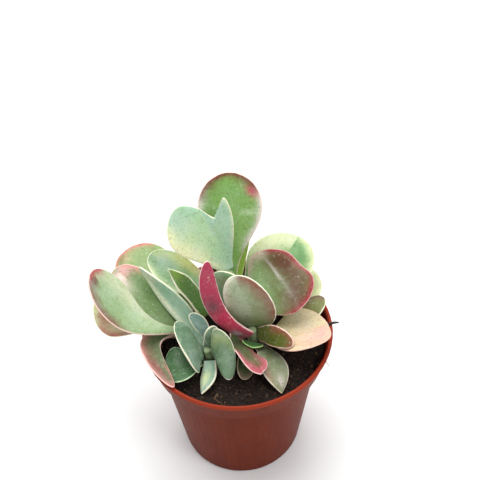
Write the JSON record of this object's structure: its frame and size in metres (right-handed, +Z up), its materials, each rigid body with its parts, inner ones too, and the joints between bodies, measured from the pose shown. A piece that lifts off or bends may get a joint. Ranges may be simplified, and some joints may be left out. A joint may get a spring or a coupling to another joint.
{
  "type": "potted paddle plant",
  "caption": "Variegated paddle plant with broad round fleshy leaves, growing in soil in a tapered round plastic nursery pot.",
  "frame": {"origin": "centre of the flat pad under the pot, on the surface that the pot stands on", "axes": "+Z up along the pot's axis; -Y is the side of the plant that is shown to the viewer; +X to the viewer's right"},
  "size_m": [0.129, 0.105, 0.169],
  "materials": {
    "terracotta_plastic": "matte injection-moulded red-brown plastic",
    "potting_soil": "loose dark peat with fibres",
    "stem_flesh": "matte green fleshy stem",
    "leaf_blade": "green fleshy blade with a powdery bloom, cream margins and red tips"
  },
  "bodies": {
    "root": {"front_stem": "stem_flesh", "leaf_back_edge": "leaf_blade", "leaf_back_folded": "leaf_blade", "leaf_back_tall": "leaf_blade", "leaf_crimson": "leaf_blade", "leaf_front_blue": "leaf_blade", "leaf_front_dark": "leaf_blade", "leaf_front_drooping": "leaf_blade", "leaf_front_inner": "leaf_blade", "leaf_front_kite": "leaf_blade", "leaf_front_oval": "leaf_blade", "leaf_front_pale": "leaf_blade", "leaf_front_round": "leaf_blade", "leaf_front_shaded": "leaf_blade", "leaf_front_upper": "leaf_blade", "leaf_front_wavy": "leaf_blade", "leaf_left_long": "leaf_blade", "leaf_left_oval": "leaf_blade", "leaf_left_paddle": "leaf_blade", "leaf_left_pink": "leaf_blade", "leaf_left_pointed": "leaf_blade", "leaf_left_rear": "leaf_blade", "leaf_left_under": "leaf_blade", "leaf_rear_low": "leaf_blade", "leaf_rear_right": "leaf_blade", "leaf_right_big": "leaf_blade", "leaf_right_cream": "leaf_blade", "leaf_right_fold": "leaf_blade", "leaf_right_olive": "leaf_blade", "leaf_right_oval": "leaf_blade", "leaf_rim": "leaf_blade", "left_stem": "stem_flesh", "main_stem": "stem_flesh", "pot": "terracotta_plastic", "right_stem": "stem_flesh", "soil": "potting_soil"}
  },
  "joints": []
}
